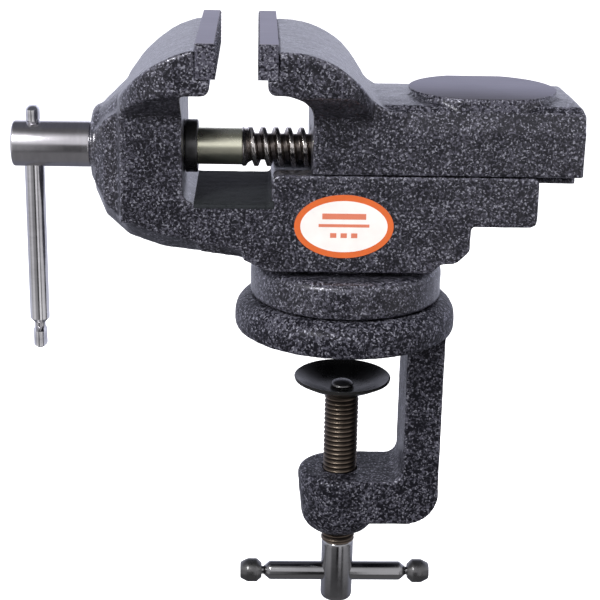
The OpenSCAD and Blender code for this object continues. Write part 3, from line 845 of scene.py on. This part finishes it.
KEPT = {"pivot_bolt": BRIGHT, "pivot_washer": BRIGHT, "pivot_spring_washer": BLACK,
        "collar_pin": BRIGHT, "lead_nut": BRASS, "nut_retainer": BLACK,
        "nut_retainer_screws": BRIGHT}
for node, material in KEPT.items():
    slots = frame["nodes"][node].data.materials
    for index in range(len(slots)):
        slots[index] = material


# ---------------------------------------------------------------- studio

CAMERA_PLACE = Vector((-27.46, -433.53, 149.05)) * MM
CAMERA_TURN, CAMERA_DOWN, CAMERA_ROLL = (math.radians(a) for a in (1.831, 18.098, 1.182))


def aim_camera():
    """The main view: a little above the jaws, turned and rolled by a degree or two."""
    data = bpy.data.cameras.new("camera")
    data.lens = 90
    data.sensor_width = 36
    data.clip_end = 20
    camera = bpy.data.objects.new("camera", data)
    bpy.context.scene.collection.objects.link(camera)
    turn = Matrix.Rotation(-CAMERA_TURN, 4, "Z")
    tilt = Matrix.Rotation(math.pi / 2 - CAMERA_DOWN, 4, "X")
    roll = Matrix.Rotation(CAMERA_ROLL, 4, "Z")
    camera.matrix_world = Matrix.Translation(CAMERA_PLACE) @ (turn @ tilt @ roll)
    bpy.context.scene.camera = camera


def area_light(name, place, target, size, power, shines=True):
    """shines=False keeps the light itself out of the reflections."""
    data = bpy.data.lights.new(name, "AREA")
    data.shape = "RECTANGLE"
    data.size, data.size_y = size
    data.energy = power
    light = bpy.data.objects.new(name, data)
    light.location = place
    light.rotation_euler = (Vector(target) - Vector(place)).to_track_quat("-Z", "Y").to_euler()
    light.visible_glossy = shines
    bpy.context.scene.collection.objects.link(light)


def surroundings():
    """A photo tent for the reflections: bright back and sides, a soft box above a dark front.

    The camera itself sees plain white. across, depth and height run from 0 to 1 over the directions
    left to right, front to back and bottom to top.
    """
    world = bpy.data.worlds.new("studio")
    bpy.context.scene.world = world
    n = Nodes(world, "Background", "Generated")
    across, depth, height = (n.math("ADD", n.math("MULTIPLY", n.axis(n.coords, name), 0.5), 0.5)
                             for name in "XYZ")
    # Dark from the table to a little above eye level, then the soft box.
    front = n.ramp(height, (0.20, 0.18), (0.30, 0.03), (0.54, 0.03), (0.60, 0.80), (0.86, 0.75),
                   (0.97, 0.12))
    # The white backdrop, brightest above eye level.
    back = n.ramp(height, (0.20, 0.18), (0.28, 0.55), (0.45, 0.65), (0.50, 0.80), (0.67, 1.0),
                  (0.76, 0.12))
    # A dim panel left of the camera and a bright strip right of it, which the round bars reflect.
    strips = n.ramp(across, (0.25, 0.30), (0.42, 0.22), (0.46, 0.0), (0.55, 0.0), (0.59, 0.8),
                    (0.70, 0.8), (0.76, 0.02))
    strip_height = n.ramp(height, (0.25, 0.0), (0.31, 1.0), (0.6, 1.0), (0.7, 0.0))
    strips = n.math("MULTIPLY", strips, strip_height)
    front = n.math("MAXIMUM", front, strips)
    level = n.mix(n.ramp(depth, (0.36, 0.0), (0.62, 1.0)), front, back, "FLOAT")
    # White panels on both sides.
    sideways = n.math("ABSOLUTE", n.axis(n.coords, "X"))
    sides = n.ramp(sideways, (0.5, 0.0), (0.7, 0.6), (0.88, 0.55), (0.98, 0.2))
    side_height = n.ramp(height, (0.2, 0.0), (0.3, 1.0), (0.75, 1.0), (0.85, 0.0))
    sides = n.math("MULTIPLY", sides, side_height)
    level = n.math("MAXIMUM", level, sides)
    tint = n.mix(n.ramp(depth, (0.45, 0.0), (0.62, 1.0)), (1.0, 0.985, 1.03), (0.93, 0.95, 1.14))
    tinted = n.mix(level, (0, 0, 0), tint)
    seen = n.add("ShaderNodeLightPath").outputs["Is Camera Ray"]
    n.link(n.mix(seen, tinted, (1, 1, 1)), n.shader.inputs["Color"])


def floor():
    """A white floor below the vise, seen by the camera only."""
    height, half = -0.16, 4
    bm = bmesh.new()
    for x, y in ((-half, -half), (half, -half), (half, half), (-half, half)):
        bm.verts.new((x, y, height))
    bm.faces.new(bm.verts)
    plane = bpy.data.objects.new("floor", mesh_from("floor", bm, smooth=False))
    bpy.context.scene.collection.objects.link(plane)
    n = new_material("floor_white")
    n.set(Roughness=0.9, Emission_Strength=1.0, Base_Color=(0.9, 0.9, 0.9, 1),
          Emission_Color=(1, 1, 1, 1))
    plane.data.materials.append(n.owner)
    plane.visible_glossy = False
    plane.visible_diffuse = False
    plane.visible_shadow = False


def lights():
    """Each line: name, place, target, size in metres and power in watts."""
    area_light("top_light", (0.0, -0.25, 0.8), (0, 0, 0), (0.6, 0.5), 5, shines=False)
    area_light("side_fill", (-0.7, -0.6, 0.2), (0, 0, 0.04), (0.4, 0.4), 2.4, shines=False)
    area_light("key_light", (-0.42, -0.55, 0.5), (0, 0, 0.05), (0.2, 0.2), 4)


aim_camera()
surroundings()
floor()
lights()
bpy.context.scene.view_settings.view_transform = "Standard"
